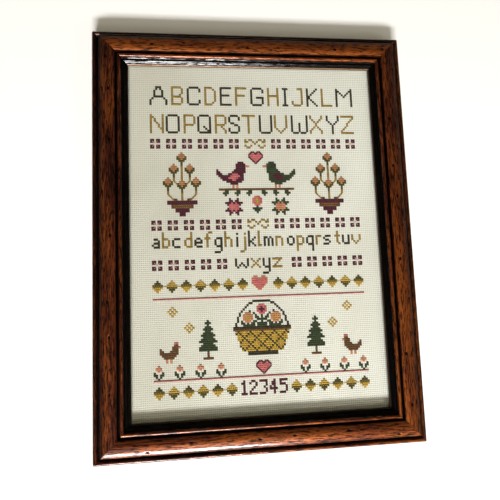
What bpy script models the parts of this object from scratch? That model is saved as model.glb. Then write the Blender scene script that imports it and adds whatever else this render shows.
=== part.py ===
# Framed cross stitch sampler, lying on its back.
# Four rails are cut from one wooden moulding and mitred at the corners. In the rabbet behind their
# sight edges lie the glass, the stitched cloth and a backing board.
# X runs across the picture, Y up the picture, and Z out of its face. The frame's back is at Z = 0.

import math

import bmesh
import bpy
from mathutils import Matrix, Vector

MM = 0.001

# Frame, measured over its outside edges
FRAME_WIDTH = 293 * MM
FRAME_HEIGHT = 384 * MM
GAP = 0.3 * MM
CORNER_ROUNDING = 2.5 * MM
CORNER_FACETS = 3

# Moulding: distances inwards from the outside edge, and heights above the back
RABBET_INSET = 26 * MM
LIP_UNDERSIDE = 10.3 * MM
BACK_CHAMFER = 0.6 * MM

OUTER_BEAD_RADIUS = 2.0 * MM
OUTER_BEAD_HEIGHT = 11.6 * MM
OUTER_GROOVE_FLOOR = 10.6 * MM

HUMP_EDGE = (6.7 * MM, 16.6 * MM)
HUMP_START = 7.3 * MM
HUMP_CROWN = (15.2 * MM, 20.3 * MM)
HUMP_END = 21.0 * MM
HUMP_OUTER_RADIUS = 16.0 * MM
HUMP_INNER_RADIUS = 11.0 * MM
HUMP_STEPS = 8

INNER_GROOVE_FLOOR = 15.2 * MM
INNER_BEAD_RADIUS = 1.6 * MM
INNER_BEAD_INSET = 24.6 * MM
INNER_BEAD_HEIGHT = 16.4 * MM
BEAD_STEPS = 10

SHOULDER_TOP = (26.3 * MM, 16.2 * MM)
SHOULDER_FOOT = (27.2 * MM, 15.35 * MM)
LEDGE_START = (27.45 * MM, 14.75 * MM)
LEDGE_END = (28.8 * MM, 14.65 * MM)
LIP_START = (30.6 * MM, 12.95 * MM)
LIP_CORNER = (31.3 * MM, 12.85 * MM)
SIGHT_EDGE = (32.0 * MM, 12.1 * MM)

# What the rabbet holds, as thicknesses
GLASS_THICKNESS = 2.0 * MM
CLOTH_THICKNESS = 1.0 * MM
BOARD_THICKNESS = 3.0 * MM
PANE_ARRIS = 0.3 * MM

# Colour, roughness and metallic value of each material
WOOD = ((0.105, 0.030, 0.012, 1.0), 0.25, 0.0)
GLASS = ((0.85, 0.90, 0.88, 0.2), 0.03, 0.0)
CLOTH = ((0.66, 0.62, 0.50, 1.0), 0.90, 0.0)
BOARD = ((0.30, 0.21, 0.13, 1.0), 0.85, 0.0)


def clear_scene():
    for thing in list(bpy.data.objects):
        bpy.data.objects.remove(thing, do_unlink=True)


def new_collection(name):
    collection = bpy.data.collections.new(name)
    bpy.context.scene.collection.children.link(collection)
    return collection


def new_material(name, look):
    colour, roughness, metallic = look
    material = bpy.data.materials.new(name)
    material.use_nodes = True
    surface = material.node_tree.nodes["Principled BSDF"]
    surface.inputs["Base Color"].default_value = colour
    surface.inputs["Roughness"].default_value = roughness
    surface.inputs["Metallic"].default_value = metallic
    surface.inputs["Alpha"].default_value = colour[3]
    return material


def arc(centre, radius, start, end, steps):
    """Points along an arc, with its angles in degrees."""
    points = []
    for step in range(steps + 1):
        angle = math.radians(start + (end - start) * step / steps)
        points.append((centre[0] + radius * math.cos(angle), centre[1] + radius * math.sin(angle)))
    return points


def hump_arc(radius, start, end, steps):
    """Points over the hump between two insets, on an arc whose highest point is the crown."""
    crown_inset, crown_height = HUMP_CROWN
    turns = [math.degrees(math.acos((inset - crown_inset) / radius)) for inset in (start, end)]
    return arc((crown_inset, crown_height - radius), radius, turns[0], turns[1], steps)


def moulding_profile():
    """The moulding's outline, clockwise from the back edge, as (inset, height) points."""
    bead = 2 * OUTER_BEAD_RADIUS
    inner_bead_start = INNER_BEAD_INSET - INNER_BEAD_RADIUS
    outline = [(BACK_CHAMFER, 0.0), (0.0, BACK_CHAMFER)]
    outline += arc((OUTER_BEAD_RADIUS, OUTER_BEAD_HEIGHT), OUTER_BEAD_RADIUS, 180, 0, BEAD_STEPS)
    outline += [(bead + 0.3 * MM, OUTER_GROOVE_FLOOR), (HUMP_EDGE[0] - 0.4 * MM, OUTER_GROOVE_FLOOR), HUMP_EDGE]
    outline += hump_arc(HUMP_OUTER_RADIUS, HUMP_START, HUMP_CROWN[0], HUMP_STEPS)
    outline += hump_arc(HUMP_INNER_RADIUS, HUMP_CROWN[0], HUMP_END, HUMP_STEPS)[1:]
    outline += [(HUMP_END + 0.4 * MM, INNER_GROOVE_FLOOR), (inner_bead_start - 0.2 * MM, INNER_GROOVE_FLOOR)]
    outline += arc((INNER_BEAD_INSET, INNER_BEAD_HEIGHT), INNER_BEAD_RADIUS, 180, 0, BEAD_STEPS)
    outline += [SHOULDER_TOP, SHOULDER_FOOT, LEDGE_START, LEDGE_END, LIP_START, LIP_CORNER, SIGHT_EDGE]
    outline += [(SIGHT_EDGE[0], LIP_UNDERSIDE)]
    outline += [(RABBET_INSET, LIP_UNDERSIDE), (RABBET_INSET, BACK_CHAMFER), (RABBET_INSET - BACK_CHAMFER, 0.0)]
    return outline


def moulding_length(length):
    """A straight length of moulding: X along it, Y inwards from its outside edge, Z up from its back."""
    curve = bpy.data.curves.new("moulding", "CURVE")
    curve.dimensions = "2D"
    curve.fill_mode = "BOTH"
    curve.extrude = length / 2
    spline = curve.splines.new("POLY")
    outline = moulding_profile()
    spline.points.add(len(outline) - 1)
    for point, (inset, height) in zip(spline.points, outline):
        point.co = (inset, height, 0.0, 1.0)
    spline.use_cyclic_u = True
    guide = bpy.data.objects.new("moulding", curve)
    bpy.context.scene.collection.objects.link(guide)
    # The curve's own X, Y and Z become the moulding's Y, Z and X
    guide.matrix_world = Matrix(((0, 0, 1, 0), (1, 0, 0, 0), (0, 1, 0, 0), (0, 0, 0, 1)))
    bpy.context.view_layer.update()
    mesh = bpy.data.meshes.new_from_object(guide.evaluated_get(bpy.context.evaluated_depsgraph_get()))
    mesh.transform(guide.matrix_world)
    bpy.data.objects.remove(guide)
    bpy.data.curves.remove(curve)
    return mesh


def saw(bm, point, normal):
    """Cut off what lies beyond a plane, and close the cut."""
    everything = bm.verts[:] + bm.edges[:] + bm.faces[:]
    cut = bmesh.ops.bisect_plane(
        bm, geom=everything, dist=1e-7, plane_co=point, plane_no=normal, clear_outer=True
    )
    rim = [item for item in cut["geom_cut"] if isinstance(item, bmesh.types.BMEdge)]
    bmesh.ops.contextual_create(bm, geom=rim)


def mitre_and_soften(bm, length):
    """Mitre both ends of a moulding, then take its two outside corners off in a few flats."""
    for end in (-1, 1):
        mitre = Vector((end, 1.0, 0.0)).normalized()
        saw(bm, Vector((end * length / 2, 0.0, 0.0)) - mitre * GAP / 2, mitre)
        middle = Vector((end * (length / 2 - CORNER_ROUNDING), CORNER_ROUNDING, 0.0))
        for flat in range(1, CORNER_FACETS + 1):
            tilt = math.radians(45 * flat / CORNER_FACETS)
            outwards = Vector((end * math.sin(tilt), -math.cos(tilt), 0.0))
            saw(bm, middle + outwards * CORNER_ROUNDING, outwards)


def make_rail(name, length, across, turn, material, collection):
    """One rail, cut to length and set on its side of the frame."""
    mesh = moulding_length(length)
    bm = bmesh.new()
    bm.from_mesh(mesh)
    bmesh.ops.remove_doubles(bm, verts=bm.verts, dist=1e-6)
    mitre_and_soften(bm, length)
    bmesh.ops.recalc_face_normals(bm, faces=bm.faces)
    bm.to_mesh(mesh)
    bm.free()
    mesh.name = name
    mesh.materials.clear()
    mesh.materials.append(material)
    mesh.shade_smooth()
    mesh.set_sharp_from_angle(angle=math.radians(30))
    rail = bpy.data.objects.new(name, mesh)
    rail.rotation_euler.z = math.radians(turn)
    rail.location = Matrix.Rotation(math.radians(turn), 3, "Z") @ Vector((0.0, -across / 2, 0.0))
    collection.objects.link(rail)
    return rail


def make_pane(name, thickness, top, material, collection):
    """A flat piece that fills the rabbet, with its edges barely eased."""
    margin = 2 * (RABBET_INSET + GAP)
    size = Vector((FRAME_WIDTH - margin, FRAME_HEIGHT - margin, thickness))
    bm = bmesh.new()
    bmesh.ops.create_cube(bm, size=1.0)
    bmesh.ops.scale(bm, vec=size, verts=bm.verts)
    mesh = bpy.data.meshes.new(name)
    bm.to_mesh(mesh)
    bm.free()
    mesh.materials.append(material)
    pane = bpy.data.objects.new(name, mesh)
    pane.location.z = top - thickness / 2
    collection.objects.link(pane)
    arris = pane.modifiers.new("eased edges", "BEVEL")
    arris.width = PANE_ARRIS
    arris.segments = 1
    return pane


def build():
    clear_scene()
    collection = new_collection("framed_cross_stitch_sampler")
    wood = new_material("stained_wood", WOOD)
    rails = (
        ("rail_bottom", FRAME_WIDTH, FRAME_HEIGHT, 0),
        ("rail_right", FRAME_HEIGHT, FRAME_WIDTH, 90),
        ("rail_top", FRAME_WIDTH, FRAME_HEIGHT, 180),
        ("rail_left", FRAME_HEIGHT, FRAME_WIDTH, 270),
    )
    for name, length, across, turn in rails:
        make_rail(name, length, across, turn, wood, collection)

    top = LIP_UNDERSIDE - GAP
    panes = (
        ("glass", GLASS_THICKNESS, new_material("clear_glass", GLASS)),
        ("sampler_cloth", CLOTH_THICKNESS, new_material("even_weave_cloth", CLOTH)),
        ("backing_board", BOARD_THICKNESS, new_material("fibre_board", BOARD)),
    )
    for name, thickness, material in panes:
        make_pane(name, thickness, top, material, collection)
        top -= thickness + GAP


build()
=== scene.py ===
# %% [markdown]
# # A framed cross stitch sampler
#
# A sampler is a piece of even-weave cloth on which somebody has practised letters, borders and small
# pictures in cross stitch. This one lies on its back in a mahogany-stained frame, behind glass. The
# lesson sets up camera and light, cuts the moulding, weaves the cloth, sews every single stitch on it,
# and ends with the finish of the glass and the board.
#
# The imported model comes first. It fixes the size and place of each piece, and all that follows is
# made to fit it. Lengths are in metres, and `MM` turns millimetres into metres.

import math

import bmesh
import bpy
import numpy as np
from mathutils import Matrix, Vector, noise


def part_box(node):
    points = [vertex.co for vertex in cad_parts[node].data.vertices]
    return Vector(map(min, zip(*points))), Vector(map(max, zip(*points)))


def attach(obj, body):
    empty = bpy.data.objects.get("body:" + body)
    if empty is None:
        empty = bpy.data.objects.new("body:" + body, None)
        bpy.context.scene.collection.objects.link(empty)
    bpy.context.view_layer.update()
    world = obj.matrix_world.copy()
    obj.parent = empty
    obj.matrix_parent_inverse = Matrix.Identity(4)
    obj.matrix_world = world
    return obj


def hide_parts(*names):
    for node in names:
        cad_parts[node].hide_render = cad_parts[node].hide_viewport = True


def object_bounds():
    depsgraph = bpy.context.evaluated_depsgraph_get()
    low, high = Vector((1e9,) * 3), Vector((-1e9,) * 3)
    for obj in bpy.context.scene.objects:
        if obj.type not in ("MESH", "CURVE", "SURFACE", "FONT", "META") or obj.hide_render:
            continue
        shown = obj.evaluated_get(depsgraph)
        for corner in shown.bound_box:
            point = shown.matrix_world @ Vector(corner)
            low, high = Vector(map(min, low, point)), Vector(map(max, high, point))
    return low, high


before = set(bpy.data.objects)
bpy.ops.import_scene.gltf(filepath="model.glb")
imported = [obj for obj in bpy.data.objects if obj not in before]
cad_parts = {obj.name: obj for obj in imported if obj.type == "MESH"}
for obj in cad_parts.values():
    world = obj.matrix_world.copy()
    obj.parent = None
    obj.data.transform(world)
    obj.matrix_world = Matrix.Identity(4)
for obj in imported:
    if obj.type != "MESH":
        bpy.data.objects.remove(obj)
cad_low, cad_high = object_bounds()

MM = 0.001
frame_low, frame_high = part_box("rail_left")[0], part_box("rail_right")[1]
FRAME_WIDTH = frame_high.x - frame_low.x
FRAME_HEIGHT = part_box("rail_top")[1].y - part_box("rail_bottom")[0].y
print(f"frame {FRAME_WIDTH / MM:.1f} x {FRAME_HEIGHT / MM:.1f} mm")

# %% [markdown]
# ## Camera
#
# The sampler was photographed by hand from less than half a metre away, so its edges run together
# strongly. A real camera is described by where it stands, how it is turned and how wide it sees. The
# turns are given in the order tilt, swing and roll, which Blender calls ZXY: the roll happens first.

# %% Camera
CAMERA_PLACE = Vector((-58.3, -60.0, 436.0)) * MM
CAMERA_TILT = 6.18
CAMERA_SWING = -6.79
CAMERA_ROLL = -2.17
FOCAL_LENGTH = 34.1
SENSOR_WIDTH = 36.0
NEAREST_SEEN = 10 * MM

lens = bpy.data.cameras.new("camera")
lens.lens = FOCAL_LENGTH
lens.sensor_width = SENSOR_WIDTH
lens.clip_start = NEAREST_SEEN
camera = bpy.data.objects.new("camera", lens)
camera.location = CAMERA_PLACE
camera.rotation_mode = "ZXY"
camera.rotation_euler = [math.radians(turn) for turn in (CAMERA_TILT, CAMERA_SWING, CAMERA_ROLL)]
bpy.context.scene.collection.objects.link(camera)
bpy.context.scene.camera = camera
print(f"camera {CAMERA_PLACE.z / MM:.0f} mm above the floor")

# %% [markdown]
# ## Shader maths in plain Python
#
# A finish is a chain of small sums: where is this point across the moulding, is it in a groove, how
# dark is the grain here? Adding the nodes for them by hand is long and hard to read. The class below
# wraps one output socket, so that `1 - mask` or `grain * 0.4 + 0.6` writes the Math nodes itself. Every
# other node comes from its one method, `node`.

# %% A socket that does sums
class Wire:
    """One output socket of a material's nodes. Sums on it add Math nodes."""

    def __init__(self, tree, socket=None):
        self.tree = tree
        self.socket = socket

    def node(self, kind, settings=None, inputs=None, output=0):
        """Add any node: its settings first, then the values or links of its sockets."""
        added = self.tree.nodes.new(kind)
        for name, value in (settings or {}).items():
            if name == "stops":
                self.set_stops(added.color_ramp, value)
            else:
                setattr(added, name, value)
        for name, value in (inputs or {}).items():
            if isinstance(value, Wire):
                self.tree.links.new(value.socket, added.inputs[name])
            else:
                added.inputs[name].default_value = value
        return Wire(self.tree, added.outputs[output])

    @staticmethod
    def set_stops(ramp, stops):
        """A colour ramp's stops, as (place, colour) pairs."""
        while len(ramp.elements) < len(stops):
            ramp.elements.new(0.5)
        for element, (place, colour) in zip(ramp.elements, stops):
            element.position = place
            element.color = (*colour, 1.0)

    def maths(self, operation, *others):
        inputs = {index: value for index, value in enumerate((self, *others))}
        return self.node("ShaderNodeMath", {"operation": operation}, inputs)

    def __add__(self, other):
        return self.maths("ADD", other)

    def __radd__(self, other):
        return self.maths("ADD", other)

    def __sub__(self, other):
        return self.maths("SUBTRACT", other)

    def __rsub__(self, other):
        flipped = self.maths("MULTIPLY", -1.0)
        return flipped.maths("ADD", other)

    def __mul__(self, other):
        return self.maths("MULTIPLY", other)

    def __rmul__(self, other):
        return self.maths("MULTIPLY", other)

    def __abs__(self):
        return self.maths("ABSOLUTE")

    def step(self, start, end):
        """0 below start, 1 above end, and a soft rise between them. Start may lie above end."""
        settings = {"interpolation_type": "SMOOTHSTEP"}
        low, high = min(start, end), max(start, end)
        rising = self.node("ShaderNodeMapRange", settings, {"Value": self, "From Min": low, "From Max": high})
        return rising if end >= start else 1 - rising

    def between(self, start, end, soft):
        """1 from start to end, with soft edges."""
        return self.step(start - soft, start + soft) * self.step(end + soft, end - soft)

    def parts(self):
        """The X, Y and Z of a vector."""
        split = self.node("ShaderNodeSeparateXYZ", inputs={"Vector": self})
        return tuple(Wire(self.tree, split.socket.node.outputs[axis]) for axis in range(3))

    def stretched(self, *factors):
        """A vector with each axis multiplied by its own factor."""
        settings = {"operation": "MULTIPLY"}
        return self.node("ShaderNodeVectorMath", settings, {0: self, 1: factors})

    def clouds(self, scale=1.0, detail=3.0, roughness=0.55):
        """Smooth random variation, mostly between 0.3 and 0.7, at this place."""
        inputs = {"Vector": self, "Scale": scale, "Detail": detail, "Roughness": roughness}
        return self.node("ShaderNodeTexNoise", inputs=inputs)

    def blend(self, first, second):
        """A colour between two, this being the share of the second."""
        colours = {6: first, 7: second}
        for index, colour in colours.items():
            if not isinstance(colour, Wire):
                colours[index] = (*colour, 1.0)
        return self.node("ShaderNodeMix", {"data_type": "RGBA"}, {0: self, **colours}, output=2)


def new_finish(name, roughness, **fixed):
    """A material, its surface node, and a wire that holds the place on the object."""
    material = bpy.data.materials.new(name)
    material.use_nodes = True
    surface = material.node_tree.nodes["Principled BSDF"]
    surface.inputs["Roughness"].default_value = roughness
    for socket, value in fixed.items():
        surface.inputs[socket.replace("_", " ")].default_value = value
    start = Wire(material.node_tree)
    place = start.node("ShaderNodeTexCoord", output=3)
    return material, surface, place


def feed(surface, **wires):
    """Link wires to the surface's sockets."""
    for socket, wire in wires.items():
        wire.tree.links.new(wire.socket, surface.inputs[socket.replace("_", " ")])


def bumped(height, depth):
    """A Normal that follows a height from 0 to 1, which stands for this depth in metres."""
    inputs = {"Height": height, "Distance": depth, "Strength": 1.0}
    return height.node("ShaderNodeBump", inputs=inputs)


# %% [markdown]
# ## Floor and light
#
# The cloth tells how the room was lit. The bottom rail throws a soft shadow about 8 mm wide on it, so
# the main light stands beyond the bottom edge, some 32 degrees up, like a window across the room. The
# weaker, warmer light in the shadow is the room's own: two large lights overhead and a small lamp at
# the right. The ceiling's light and the lamp aren't mirrored, because their shapes would show as
# patches in the lacquer. The world is a warm gradient, brighter near the floor. The floor lies a hair
# below the frame's back, since two faces in one plane flicker. Blender starts with a film look that
# greys strong colours, and "Standard" shows them as they are.

# %% Floor and light
bpy.context.scene.view_settings.view_transform = "Standard"

FLOOR_PALE = (0.86, 0.86, 0.85, 1.0)
FLOOR_HALF_WIDTH = 3.0
FLOOR_BELOW = 0.1 * MM
PICTURE_MIDDLE = Vector((0.0, 0.0, 0.0))

# Name, place, width and height, power, colour, and whether shiny things mirror it
LIGHTS = (
    ("window", (-0.22, -2.66, 1.68), (1.15, 0.34), 192.0, (1.0, 0.985, 0.98), True),
    ("sky", (-0.10, -1.50, 2.10), (1.4, 1.0), 10.0, (1.0, 0.93, 0.76), True),
    ("ceiling", (-0.10, 0.20, 2.30), (1.4, 1.0), 7.5, (1.0, 0.89, 0.64), False),
    ("lamp", (0.75, -0.55, 0.62), (0.15, 0.15), 2.0, (1.0, 0.96, 0.86), False),
)


def keep_mesh(bm, name):
    """Turn a finished bmesh into a mesh."""
    mesh = bpy.data.meshes.new(name)
    bm.to_mesh(mesh)
    bm.free()
    return mesh


def show(data):
    """Put a mesh or lamp into the scene as an object of the same name."""
    thing = bpy.data.objects.new(data.name, data)
    bpy.context.scene.collection.objects.link(thing)
    return thing


def soft_light(name, place, size, power, colour, mirrored):
    """A lamp with a flat, wide and tall front that points at the picture."""
    lamp = bpy.data.lights.new(name, "AREA")
    lamp.shape = "RECTANGLE"
    lamp.size, lamp.size_y = size
    lamp.energy = power
    lamp.color = colour
    thing = show(lamp)
    thing.location = place
    thing.rotation_euler = (Vector(place) - PICTURE_MIDDLE).to_track_quat("Z", "Y").to_euler()
    thing.visible_glossy = mirrored


bm = bmesh.new()
bmesh.ops.create_grid(bm, x_segments=1, y_segments=1, size=FLOOR_HALF_WIDTH)
bmesh.ops.translate(bm, verts=bm.verts, vec=(0.0, 0.0, cad_low.z - FLOOR_BELOW))
floor = show(keep_mesh(bm, "floor"))
floor.data.materials.append(new_finish("pale_floor", 0.8, Base_Color=FLOOR_PALE)[0])

for light in LIGHTS:
    soft_light(*light)
print(len(LIGHTS), "lights over a floor", 2 * FLOOR_HALF_WIDTH, "m wide")

ROOM_LOW = (0.15, 0.13, 0.09)
ROOM_HIGH = (0.06, 0.055, 0.045)
world = bpy.data.worlds.new("room")
bpy.context.scene.world = world
world.use_nodes = True
room = world.node_tree.nodes["Background"]
upwards = Wire(world.node_tree).node("ShaderNodeTexCoord", output=0).parts()[2]
wall_to_ceiling = upwards.step(0.0, 1.0).blend(ROOM_LOW, ROOM_HIGH)
world.node_tree.links.new(wall_to_ceiling.socket, room.inputs["Color"])

# %% [markdown]
# ## The moulding's section
#
# Picture frames are cut from lengths of moulding: wood that was run past shaped cutters. Every step
# and bead of it is the same from end to end, so the section is drawn once and pulled along. It could be
# drawn as a curve, but a bmesh lets the arcs be spun from a single vertex, and keeps each flat a flat.
# The section is drawn as inset, which is the distance inwards from the frame's outside edge, and height
# above the back.

# %% Draw the section
RABBET_INSET = 26 * MM
BACK_CHAMFER = 0.6 * MM
LIP_UNDERSIDE = 10.3 * MM
SHOULDER_TOP = (26.3 * MM, 16.2 * MM)
SHOULDER_FOOT = (27.2 * MM, 15.35 * MM)
LEDGE_START = (27.45 * MM, 14.75 * MM)
LEDGE_END = (28.8 * MM, 14.65 * MM)
LIP_START = (30.6 * MM, 12.95 * MM)
LIP_CORNER = (31.3 * MM, 12.85 * MM)
SIGHT_EDGE = (32.0 * MM, 12.1 * MM)

OUTER_BEAD_RADIUS = 2.0 * MM
OUTER_BEAD_HEIGHT = 11.6 * MM
OUTER_GROOVE_FLOOR = 10.6 * MM
HUMP_EDGE = (6.7 * MM, 16.6 * MM)
HUMP_START = 7.3 * MM
HUMP_CROWN = (15.2 * MM, 20.3 * MM)
HUMP_END = 21.0 * MM
HUMP_OUTER_RADIUS = 16.0 * MM
HUMP_INNER_RADIUS = 11.0 * MM
INNER_GROOVE_FLOOR = 15.2 * MM
INNER_BEAD_RADIUS = 1.6 * MM
INNER_BEAD_INSET = 24.6 * MM
INNER_BEAD_HEIGHT = 16.4 * MM

# How far the grooves' walls lean, and how many straight pieces make each arc
OUTER_WALL, HUMP_WALL, INNER_WALL = 0.3 * MM, 0.4 * MM, 0.2 * MM
OUTER_BEAD_STEPS, HUMP_STEPS, INNER_BEAD_STEPS = 14, 16, 12


def hump_height(inset, radius):
    """The hump's height at an inset, on the arc of a radius whose highest point is the crown."""
    aside = inset - HUMP_CROWN[0]
    return HUMP_CROWN[1] - radius + math.sqrt(radius ** 2 - aside ** 2)


class Section:
    """A pen that draws the moulding's section in a bmesh, across X = 0."""

    def __init__(self, bm, inset, height):
        self.bm = bm
        self.first = self.tip = bm.verts.new((0.0, inset, height))

    def line(self, inset, height):
        point = self.bm.verts.new((0.0, inset, height))
        self.bm.edges.new((self.tip, point))
        self.tip = point

    def arc(self, centre, end, steps):
        """Round a centre, clockwise, until level with the end point as seen from the centre."""
        middle = Vector((0.0, *centre))
        start_turn = math.atan2(self.tip.co.z - middle.z, self.tip.co.y - middle.y)
        end_turn = math.atan2(end[1] - middle.z, end[0] - middle.y)
        spun = bmesh.ops.spin(
            self.bm, geom=[self.tip], cent=middle, axis=(1.0, 0.0, 0.0),
            angle=end_turn - start_turn, steps=steps, use_duplicate=False,
        )
        self.tip = spun["geom_last"][0]

    def close(self):
        self.bm.edges.new((self.tip, self.first))


def draw_section(bm):
    """From the back's outer corner up the side, over the top and down to the back again."""
    pen = Section(bm, BACK_CHAMFER, 0.0)
    pen.line(0.0, BACK_CHAMFER)
    pen.line(0.0, OUTER_BEAD_HEIGHT)
    outer_bead_end = (2 * OUTER_BEAD_RADIUS, OUTER_BEAD_HEIGHT)
    pen.arc((OUTER_BEAD_RADIUS, OUTER_BEAD_HEIGHT), outer_bead_end, OUTER_BEAD_STEPS)
    pen.line(outer_bead_end[0] + OUTER_WALL, OUTER_GROOVE_FLOOR)
    pen.line(HUMP_EDGE[0] - HUMP_WALL, OUTER_GROOVE_FLOOR)
    pen.line(*HUMP_EDGE)
    pen.line(HUMP_START, hump_height(HUMP_START, HUMP_OUTER_RADIUS))
    pen.arc((HUMP_CROWN[0], HUMP_CROWN[1] - HUMP_OUTER_RADIUS), HUMP_CROWN, HUMP_STEPS)
    hump_end = (HUMP_END, hump_height(HUMP_END, HUMP_INNER_RADIUS))
    pen.arc((HUMP_CROWN[0], HUMP_CROWN[1] - HUMP_INNER_RADIUS), hump_end, HUMP_STEPS)
    pen.line(HUMP_END + HUMP_WALL, INNER_GROOVE_FLOOR)
    pen.line(INNER_BEAD_INSET - INNER_BEAD_RADIUS - INNER_WALL, INNER_GROOVE_FLOOR)
    pen.line(INNER_BEAD_INSET - INNER_BEAD_RADIUS, INNER_BEAD_HEIGHT)
    inner_bead_end = (INNER_BEAD_INSET + INNER_BEAD_RADIUS, INNER_BEAD_HEIGHT)
    pen.arc((INNER_BEAD_INSET, INNER_BEAD_HEIGHT), inner_bead_end, INNER_BEAD_STEPS)
    for corner in (SHOULDER_TOP, SHOULDER_FOOT, LEDGE_START, LEDGE_END, LIP_START, LIP_CORNER, SIGHT_EDGE):
        pen.line(*corner)
    pen.line(SIGHT_EDGE[0], LIP_UNDERSIDE)
    pen.line(RABBET_INSET, LIP_UNDERSIDE)
    pen.line(RABBET_INSET, BACK_CHAMFER)
    pen.line(RABBET_INSET - BACK_CHAMFER, 0.0)
    pen.close()


# %% [markdown]
# ## Four rails
#
# The framer saws each rail off at 45 degrees and glues the corners. Here the section is pulled along X
# and cut into short lengths, so that the rail can be made a little uneven, as hand-rubbed wood is, and
# can take dents. Two slanting cuts mitre it, a few more ease the outside corner, and a turn sets it on
# its side of the frame. The dents are where an antique finish has been knocked with a chain or an awl:
# a short table for each rail says how far along it and how far in they lie, in millimetres.

# %% Make a rail
SLICE = 1.2 * MM
MITRE_GAP = 0.06 * MM
CORNER_ROUNDING = 2.5 * MM
CORNER_FLATS = 5
SHARP_FROM = 20
WOBBLE = 0.07 * MM
WOBBLE_ALONG, WOBBLE_ACROSS = 45, 160
DENT_DEPTH = 0.55 * MM
DENT_REACH = 1.3 * MM
DENT_LENGTHENED = 0.6

# Along the rail from its middle, and in from the outside edge
DENTS = {
    "bottom": ((-101, 10.2), (-64, 16.3), (-6, 14.8), (24, 16.0), (72, 17.0), (118, 10.5)),
    "right": (
        (157, 10.7), (108, 17.2), (62, 16.6), (33, 14.8),
        (-26, 16.2), (-63, 10.5), (-112, 17.0), (-157, 14.8),
    ),
    "top": ((92, 15.2), (63, 13.4), (4, 16.7), (-80, 16.5), (-127, 15.3)),
    "left": (
        (-164, 13.1), (-134, 15.6), (-87, 16.2), (-40, 10.0),
        (-1, 16.6), (56, 13.8), (86, 15.3), (133, 15.0),
    ),
}


def saw(bm, point, normal):
    """Cut off what lies beyond a plane, and close the cut."""
    everything = bm.verts[:] + bm.edges[:] + bm.faces[:]
    cut = bmesh.ops.bisect_plane(
        bm, geom=everything, dist=1e-7, plane_co=point, plane_no=normal, clear_outer=True
    )
    rim = [item for item in cut["geom_cut"] if isinstance(item, bmesh.types.BMEdge)]
    bmesh.ops.contextual_create(bm, geom=rim)


def mitre_and_ease(bm, length):
    """Mitre both ends, then take the two outside corners off in a few flats."""
    for end in (-1, 1):
        mitre = Vector((end, 1.0, 0.0)).normalized()
        saw(bm, Vector((end * length / 2, 0.0, 0.0)) - mitre * MITRE_GAP / 2, mitre)
        middle = Vector((end * (length / 2 - CORNER_ROUNDING), CORNER_ROUNDING, 0.0))
        for flat in range(1, CORNER_FLATS + 1):
            tilt = math.radians(45 * flat / CORNER_FLATS)
            outwards = Vector((end * math.sin(tilt), -math.cos(tilt), 0.0))
            saw(bm, middle + outwards * CORNER_ROUNDING, outwards)


def rub_and_dent(bm, dents, seed):
    """Make the show face slightly uneven, and knock the dents into it."""
    for vertex in bm.verts:
        if vertex.co.z < LIP_UNDERSIDE:
            continue
        spot = Vector((vertex.co.x * WOBBLE_ALONG, vertex.co.y * WOBBLE_ACROSS, seed * 7.0))
        vertex.co.z += WOBBLE * noise.noise(spot)
        for along, inset in dents:
            away = math.hypot((vertex.co.x - along * MM) * DENT_LENGTHENED, vertex.co.y - inset * MM)
            if away < DENT_REACH:
                vertex.co.z -= DENT_DEPTH * (1 - (away / DENT_REACH) ** 2) ** 2


def make_rail(side, length, across, turn):
    bm = bmesh.new()
    draw_section(bm)
    section = bm.edges[:]
    pulled = bmesh.ops.extrude_edge_only(bm, edges=section)["geom"]
    ends = [item for item in pulled if isinstance(item, bmesh.types.BMVert)]
    bmesh.ops.translate(bm, verts=ends, vec=(length, 0.0, 0.0))
    bmesh.ops.translate(bm, verts=bm.verts, vec=(-length / 2, 0.0, 0.0))
    lengthwise = [edge for edge in bm.edges if edge.calc_length() > length / 2]
    cuts = round(length / SLICE)
    bmesh.ops.subdivide_edges(bm, edges=lengthwise, cuts=cuts, use_grid_fill=True)
    mitre_and_ease(bm, length)
    rub_and_dent(bm, DENTS[side], turn)
    bmesh.ops.recalc_face_normals(bm, faces=bm.faces)
    setting = Matrix.Rotation(math.radians(turn), 4, "Z") @ Matrix.Translation((0.0, -across / 2, 0.0))
    bmesh.ops.transform(bm, matrix=setting, verts=bm.verts)
    mesh = keep_mesh(bm, f"moulding_{side}")
    mesh.shade_smooth()
    mesh.set_sharp_from_angle(angle=math.radians(SHARP_FROM))
    rail = show(mesh)
    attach(rail, "root")
    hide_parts(f"rail_{side}")
    return rail


# %% [markdown]
# ## Mahogany stain and black lines
#
# The finish is paint and stain on pale wood: a red-brown stain wiped along the grain, and black in the
# grooves and on the sight edge. Next to each groove is a shade that is partly burnt finish and partly painted
# shade, and a coat of lacquer lies over all.
# Everything follows from the distance in from the outside edge, so the object's own coordinates are
# turned and shifted until Y is that distance. Each rail gets its own copy with its own turn, and its
# grain runs along it, as real moulding does.
#
# Each rail is painted lighter or darker along its length: lightest towards the lower right, where the lamp
# falls, and the top rail, which faces the window, lighter all along. That is painted light. One table sets
# it, together with the strength of each rail's shade beside the grooves. That shade is partly the burnt look
# of an antique finish and partly painted shade, strongest on the top rail, whose outer slope faces away from
# the window. Another table sets the brown band at the sight edge, which is a little worn lacquer but mostly a
# painted highlight where the window lights the top rail's lip. The height keeps both black and shade to the
# face, and leaves the sides and back with a thin black coat. Wood isn't metal, but a metallic share gives the
# deep coloured glow of stain under lacquer.

# %% Finish for a rail
STAIN_DARK = (0.024, 0.0060, 0.0036)
STAIN_MIDDLE = (0.110, 0.0226, 0.0080)
STAIN_BRIGHT = (0.320, 0.0815, 0.0130)
BLACK = (0.0030, 0.0022, 0.0018)
# The brown of the band at the sight edge, partly worn lacquer and partly a painted highlight
LIP_BROWN = (0.130, 0.078, 0.045)
STAIN_STOPS = ((0.0, STAIN_DARK), (0.45, STAIN_MIDDLE), (1.0, STAIN_BRIGHT))
METALLIC_SHARE = 0.75
GRAIN_RELIEF = 0.10 * MM

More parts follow.
